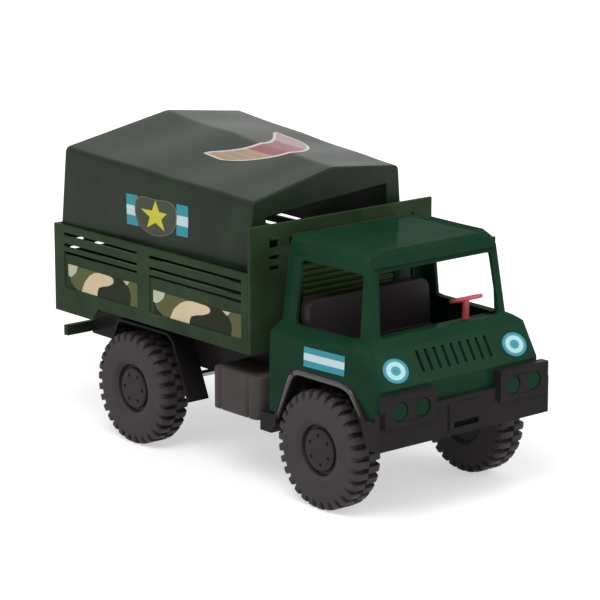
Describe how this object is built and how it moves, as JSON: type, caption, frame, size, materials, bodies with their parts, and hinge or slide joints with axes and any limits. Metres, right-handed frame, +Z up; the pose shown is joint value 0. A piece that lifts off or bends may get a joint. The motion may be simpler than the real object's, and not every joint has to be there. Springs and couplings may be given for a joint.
{
  "type": "toy military cargo truck",
  "caption": "Moulded plastic toy cargo truck with an open cab, slatted bed, loose gabled canopy and lugged wheels that turn on steel axles.",
  "frame": {"origin": "on the ground, in the middle of the truck's length and width", "axes": "+Z up, the front faces -Y, +X is the truck's left"},
  "size_m": [0.179, 0.386, 0.2436],
  "materials": {
    "green_plastic": "glossy dark green moulding",
    "canopy_plastic": "glossy grey-green moulding",
    "black_plastic": "satin black moulding",
    "wheel_plastic": "satin black moulding",
    "red_plastic": "glossy red moulding",
    "axle_steel": "drawn wire"
  },
  "bodies": {
    "truck": {"chassis_frame": "black_plastic", "front_bumper": "black_plastic", "cab_shell": "green_plastic", "seat_bench": "black_plastic", "steering_wheel": "red_plastic", "bed_floor": "green_plastic", "headboard": "green_plastic", "tailgate": "green_plastic", "canopy": "canopy_plastic", "rear_bar": "green_plastic", "front_fender_left": "black_plastic", "front_fender_right": "black_plastic", "rear_fender_left": "black_plastic", "rear_fender_right": "black_plastic", "battery_box_left": "black_plastic", "battery_box_right": "black_plastic", "bed_side_left": "green_plastic", "bed_side_right": "green_plastic"},
    "front_wheels": {"axle_front": "axle_steel", "tyre_front_left": "wheel_plastic", "tyre_front_right": "wheel_plastic", "rim_front_left": "wheel_plastic", "rim_front_right": "wheel_plastic"},
    "rear_wheels": {"axle_rear": "axle_steel", "tyre_rear_left": "wheel_plastic", "tyre_rear_right": "wheel_plastic", "rim_rear_left": "wheel_plastic", "rim_rear_right": "wheel_plastic"}
  },
  "joints": [
    {"name": "front_axle_turn", "type": "hinge", "parent": "truck", "child": "front_wheels", "pos_m": [0, -0.1235, 0.044], "axis": [1, 0, 0], "continuous": true},
    {"name": "rear_axle_turn", "type": "hinge", "parent": "truck", "child": "rear_wheels", "pos_m": [0, 0.0965, 0.044], "axis": [1, 0, 0], "continuous": true}
  ]
}
